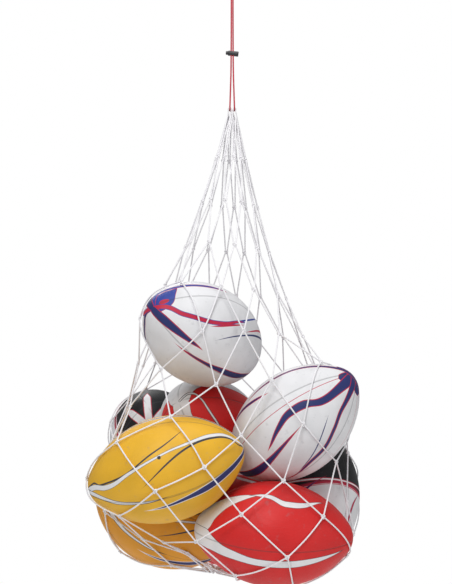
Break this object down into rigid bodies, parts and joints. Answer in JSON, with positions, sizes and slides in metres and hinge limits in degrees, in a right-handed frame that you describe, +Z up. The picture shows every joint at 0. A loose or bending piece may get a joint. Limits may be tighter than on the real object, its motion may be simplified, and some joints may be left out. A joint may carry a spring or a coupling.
{
  "type": "mesh ball bag",
  "caption": "Hanging mesh ball bag of knotted white twine, closed by a red drawcord with a sliding cord lock, full of oval rugby balls.",
  "frame": {"origin": "inside of the top of the hanging loop, where a hook bears", "axes": "+Z up along the hang line, +X to the bag's right and +Y to its back as it hangs"},
  "size_m": [0.52, 0.6226, 1.254],
  "materials": {
    "drawcord_red": "braided cord",
    "twine_white": "twisted twine",
    "lock_plastic": "moulded",
    "spring_steel": "drawn wire",
    "cover_white_blue": "pimpled grip",
    "cover_red_white": "pimpled grip",
    "cover_black_white": "pimpled grip",
    "cover_golden_yellow": "pimpled grip",
    "cover_white_crimson": "pimpled grip",
    "bladder_rubber": "smooth",
    "valve_rubber": "smooth"
  },
  "bodies": {
    "hanging_loop": {"hanging_loop": "drawcord_red"},
    "knot": {"top_knot": "drawcord_red"},
    "bag": {"drawcord": "drawcord_red", "mouth_meshes": "twine_white", "net_course_01": "twine_white", "net_course_02": "twine_white", "net_course_03": "twine_white", "net_course_04": "twine_white", "net_course_05": "twine_white", "net_course_06": "twine_white", "net_course_07": "twine_white", "net_course_08": "twine_white", "net_course_09": "twine_white", "net_course_10": "twine_white", "net_course_11": "twine_white", "bottom_meshes": "twine_white", "net_knots": "twine_white", "gather_ring": "twine_white"},
    "cord_lock": {"lock_barrel": "lock_plastic", "lock_spring": "spring_steel"},
    "lock_button": {"lock_plunger": "lock_plastic"},
    "top_ball": {"top_ball_cover": "cover_white_blue", "top_ball_bladder": "bladder_rubber", "top_ball_valve": "valve_rubber"},
    "middle_ball": {"middle_ball_cover": "cover_red_white", "middle_ball_bladder": "bladder_rubber", "middle_ball_valve": "valve_rubber"},
    "rear_left_ball": {"rear_left_ball_cover": "cover_black_white", "rear_left_ball_bladder": "bladder_rubber", "rear_left_ball_valve": "valve_rubber"},
    "front_left_ball": {"front_left_ball_cover": "cover_golden_yellow", "front_left_ball_bladder": "bladder_rubber", "front_left_ball_valve": "valve_rubber"},
    "right_ball": {"right_ball_cover": "cover_white_crimson", "right_ball_bladder": "bladder_rubber", "right_ball_valve": "valve_rubber"},
    "front_right_ball": {"front_right_ball_cover": "cover_red_white", "front_right_ball_bladder": "bladder_rubber", "front_right_ball_valve": "valve_rubber"},
    "lower_left_ball": {"lower_left_ball_cover": "cover_golden_yellow", "lower_left_ball_bladder": "bladder_rubber", "lower_left_ball_valve": "valve_rubber"},
    "lower_right_ball": {"lower_right_ball_cover": "cover_black_white", "lower_right_ball_bladder": "bladder_rubber", "lower_right_ball_valve": "valve_rubber"},
    "rear_right_ball": {"rear_right_ball_cover": "cover_white_blue", "rear_right_ball_bladder": "bladder_rubber", "rear_right_ball_valve": "valve_rubber"},
    "rear_bottom_ball": {"rear_bottom_ball_cover": "cover_red_white", "rear_bottom_ball_bladder": "bladder_rubber", "rear_bottom_ball_valve": "valve_rubber"}
  },
  "joints": [
    {"name": "bag_twist", "type": "hinge", "parent": "hanging_loop", "child": "knot", "pos_m": [0, 0, -0.0785], "axis": [0, 0, 1], "range_deg": [-180, 180]},
    {"name": "bag_swing", "type": "hinge", "parent": "knot", "child": "bag", "pos_m": [0, 0, -0.0785], "axis": [0, 1, 0], "range_deg": [-35, 35]},
    {"name": "lock_slide", "type": "slide", "parent": "bag", "child": "cord_lock", "axis": [0, 0, 1], "range_m": [-0.008, 0.11]},
    {"name": "lock_release", "type": "slide", "parent": "cord_lock", "child": "lock_button", "axis": [0.9945, 0, -0.1045], "range_m": [0, 0.003], "stiffness_N_per_m": 900, "springref_m": -0.002, "deforming": ["lock_spring"]},
    {"name": "top_ball_spin", "type": "hinge", "parent": "bag", "child": "top_ball", "pos_m": [-0.055, -0.097, -0.76], "axis": [-0.621, -0.7011, 0.3505], "continuous": true},
    {"name": "middle_ball_spin", "type": "hinge", "parent": "bag", "child": "middle_ball", "pos_m": [-0.041, 0.028, -0.95], "axis": [-0.4097, -0.7993, 0.4396], "continuous": true},
    {"name": "rear_left_ball_spin", "type": "hinge", "parent": "bag", "child": "rear_left_ball", "pos_m": [-0.16, 0.203, -0.99], "axis": [-0.0703, -0.8238, 0.5626], "continuous": true},
    {"name": "front_left_ball_spin", "type": "hinge", "parent": "bag", "child": "front_left_ball", "pos_m": [-0.12, -0.192, -1], "axis": [0.9652, 0, 0.2614], "continuous": true},
    {"name": "right_ball_spin", "type": "hinge", "parent": "bag", "child": "right_ball", "pos_m": [0.115, -0.122, -0.924], "axis": [0.7204, -0.3102, 0.6203], "continuous": true},
    {"name": "front_right_ball_spin", "type": "hinge", "parent": "bag", "child": "front_right_ball", "pos_m": [0.075, -0.167, -1.121], "axis": [0.9982, 0, -0.0599], "continuous": true},
    {"name": "lower_left_ball_spin", "type": "hinge", "parent": "bag", "child": "lower_left_ball", "pos_m": [-0.13, -0.027, -1.115], "axis": [0.8424, 0.3811, -0.3811], "continuous": true},
    {"name": "lower_right_ball_spin", "type": "hinge", "parent": "bag", "child": "lower_right_ball", "pos_m": [0.155, 0.018, -1.08], "axis": [0.0399, 0.319, 0.9469], "continuous": true},
    {"name": "rear_right_ball_spin", "type": "hinge", "parent": "bag", "child": "rear_right_ball", "pos_m": [0.101, 0.209, -0.984], "axis": [0.4937, -0.6347, 0.5944], "continuous": true},
    {"name": "rear_bottom_ball_spin", "type": "hinge", "parent": "bag", "child": "rear_bottom_ball", "pos_m": [-0.001, 0.152, -1.151], "axis": [0.9813, -0.1502, -0.1202], "continuous": true}
  ]
}
